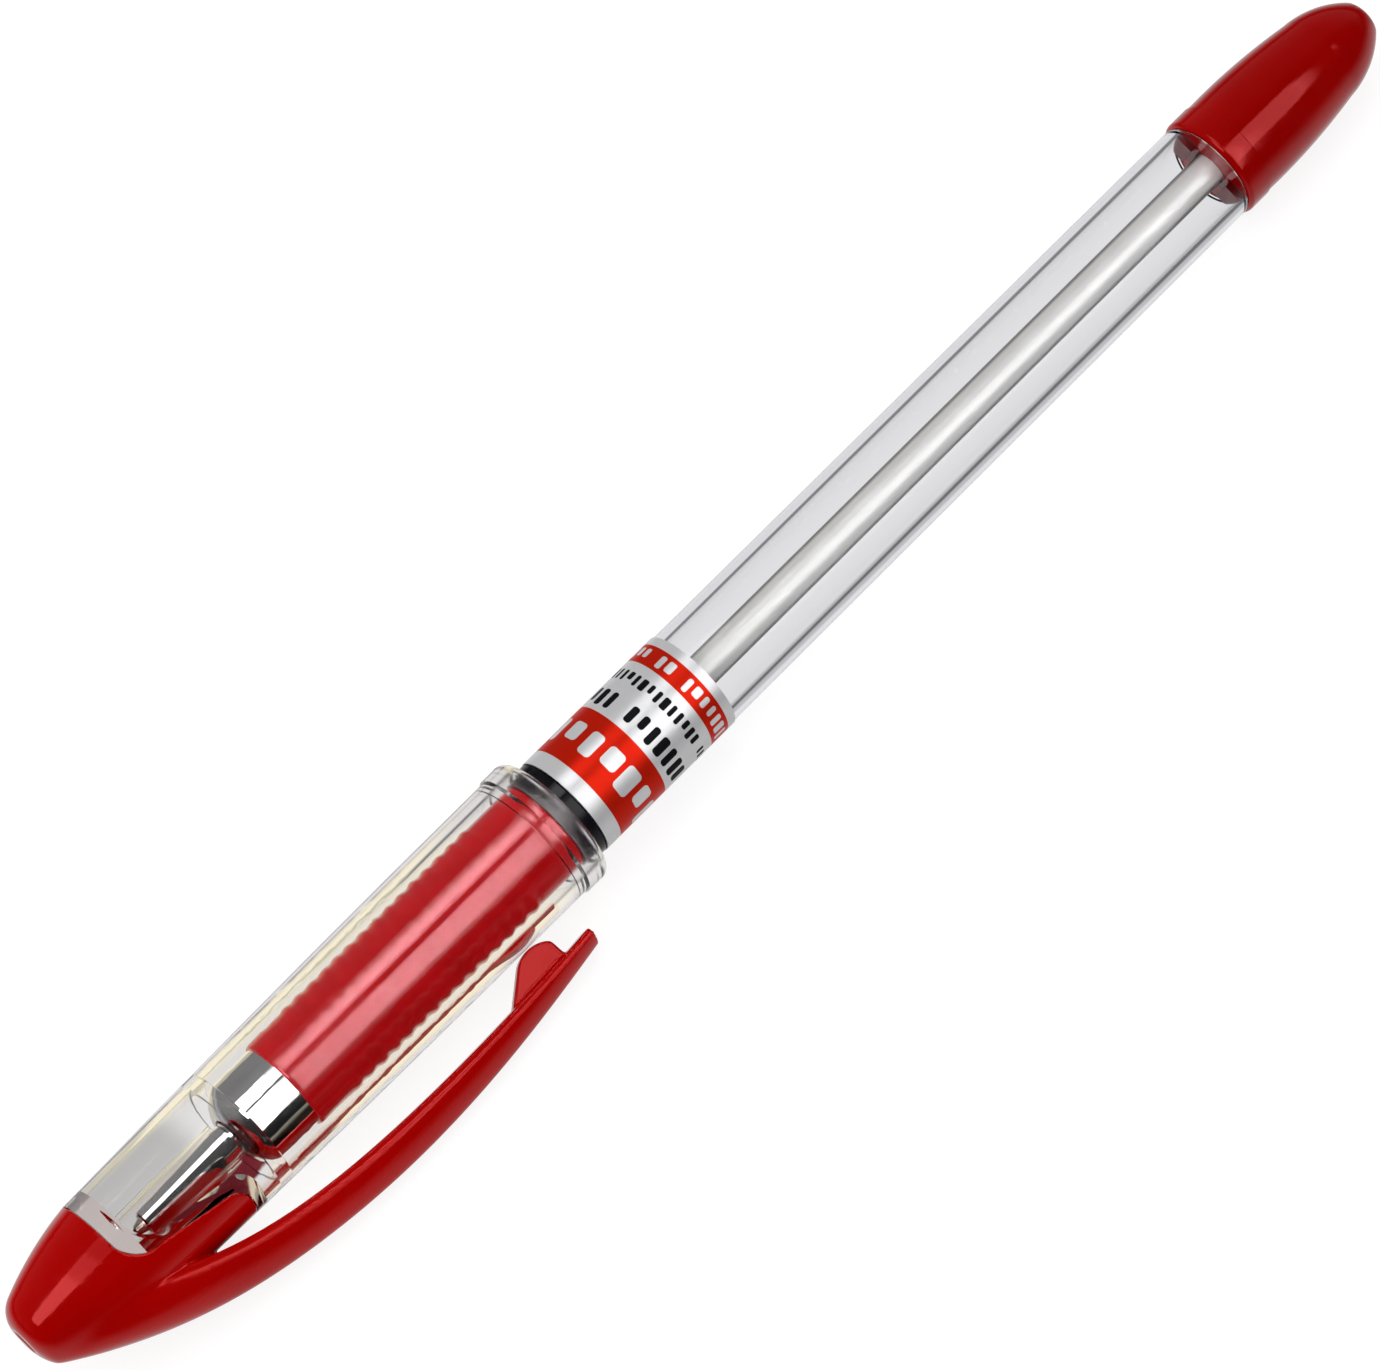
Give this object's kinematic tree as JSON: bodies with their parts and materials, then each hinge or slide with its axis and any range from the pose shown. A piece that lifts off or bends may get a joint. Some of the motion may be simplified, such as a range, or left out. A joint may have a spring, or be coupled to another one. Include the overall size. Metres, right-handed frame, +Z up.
{
  "type": "capped ballpoint pen",
  "caption": "Capped ballpoint pen with a clear barrel and cap, red crown with moulded clip, red ribbed grip, chromed nose and foil label; the cap pulls off and the ball rolls.",
  "frame": {"origin": "on the table under the middle of the lying pen, at the middle of its box in X and Y and its lowest point in Z", "axes": "+X along the pen from the cap's nose to the end plug, +Z up from the table, the clip on the -Y side"},
  "size_m": [0.15, 0.0158, 0.0117],
  "materials": {
    "clear_barrel": "clear polished polystyrene",
    "clear_cap": "clear polished polystyrene",
    "red_plastic": "deep red, polished mould",
    "label_foil": "silver foil printed in red bands",
    "dark_plastic": "near-black, glossy",
    "grip_rubber": "deep red, satin",
    "chrome": "bright chrome plate",
    "refill_metal": "satin silver tube",
    "white_plastic": "natural white",
    "point_metal": "turned nickel silver",
    "ball_carbide": "polished carbide",
    "red_ink": "red ballpoint ink",
    "grease": "clear follower grease"
  },
  "bodies": {
    "pen": {"barrel": "clear_barrel", "end_plug": "red_plastic", "label_sleeve": "label_foil", "collar_ring": "dark_plastic", "grip_sleeve": "grip_rubber", "nose_cone": "chrome", "refill_tube": "refill_metal", "point_holder": "white_plastic", "writing_point": "point_metal", "ink_column": "red_ink", "ink_follower": "grease"},
    "cap": {"cap_body": "clear_cap", "clip_crown": "red_plastic"},
    "ball": {"writing_ball": "ball_carbide"}
  },
  "joints": [
    {"name": "cap_pull", "type": "slide", "parent": "pen", "child": "cap", "axis": [-0.9999, 0, 0.0146], "range_m": [0, 0.06]},
    {"name": "ball_roll", "type": "hinge", "parent": "pen", "child": "ball", "pos_m": [-0.06334, 0.00212, 0.00645], "axis": [0.0131, -0.4461, 0.8949], "continuous": true}
  ]
}
